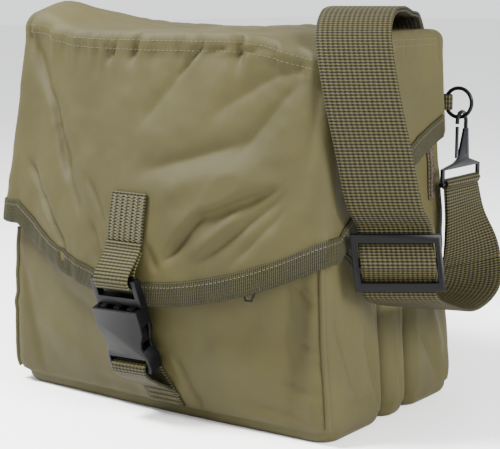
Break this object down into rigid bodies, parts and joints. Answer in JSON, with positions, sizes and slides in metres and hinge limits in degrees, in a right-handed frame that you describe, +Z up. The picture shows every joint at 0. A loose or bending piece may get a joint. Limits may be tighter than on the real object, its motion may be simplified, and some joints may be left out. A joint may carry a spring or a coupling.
{
  "type": "medical kit bag",
  "caption": "Soft nylon shoulder bag with upright zipped compartments under a hooded flap, a side-release buckle in front and a wide webbing strap hooked to corner rings.",
  "frame": {"origin": "middle of the flat base, at floor level", "axes": "+X across the bag to the right seen from the front, -Y towards the front with the buckle, +Z up"},
  "size_m": [0.3801, 0.296, 0.2975],
  "materials": {
    "nylon_cloth": "fine plain weave with a soft sheen",
    "binding_tape": "ribbed woven tape, matt",
    "webbing": "ribbed webbing, matt",
    "zip_coil": "moulded coil on woven tape",
    "buckle_plastic": "moulded, soft sheen",
    "black_metal": "black coated, semi-gloss"
  },
  "bodies": {
    "bag": {"front_compartment": "nylon_cloth", "middle_compartment": "nylon_cloth", "rear_compartment": "nylon_cloth", "front_zipper": "zip_coil", "rear_zipper": "zip_coil", "flap": "nylon_cloth", "flap_binding": "binding_tape", "front_piping_right": "nylon_cloth", "front_piping_left": "nylon_cloth", "closure_patch": "webbing", "closure_loop": "webbing", "closure_tail": "webbing", "buckle_male": "buckle_plastic", "buckle_female": "buckle_plastic", "strap_slider": "buckle_plastic", "shoulder_strap": "webbing", "ring_right": "black_metal", "ring_tab_right": "webbing", "hook_right": "black_metal", "ring_left": "black_metal", "ring_tab_left": "webbing", "hook_left": "black_metal", "front_zip_slider": "black_metal", "front_zip_pull": "black_metal", "side_zip_slider": "black_metal", "side_zip_pull": "black_metal", "rear_zip_slider": "black_metal", "rear_zip_pull": "black_metal"},
    "right_gate": {"hook_gate_right": "black_metal"},
    "left_gate": {"hook_gate_left": "black_metal"}
  },
  "joints": [
    {"name": "right_gate_hinge", "type": "hinge", "parent": "bag", "child": "right_gate", "pos_m": [0.14819, 0.08512, 0.18401], "axis": [-1, 0, 0], "range_deg": [0, 20], "stiffness_Nm_per_rad": 0.05},
    {"name": "left_gate_hinge", "type": "hinge", "parent": "bag", "child": "left_gate", "pos_m": [-0.14999, 0.08512, 0.18401], "axis": [-1, 0, 0], "range_deg": [0, 20], "stiffness_Nm_per_rad": 0.05}
  ]
}
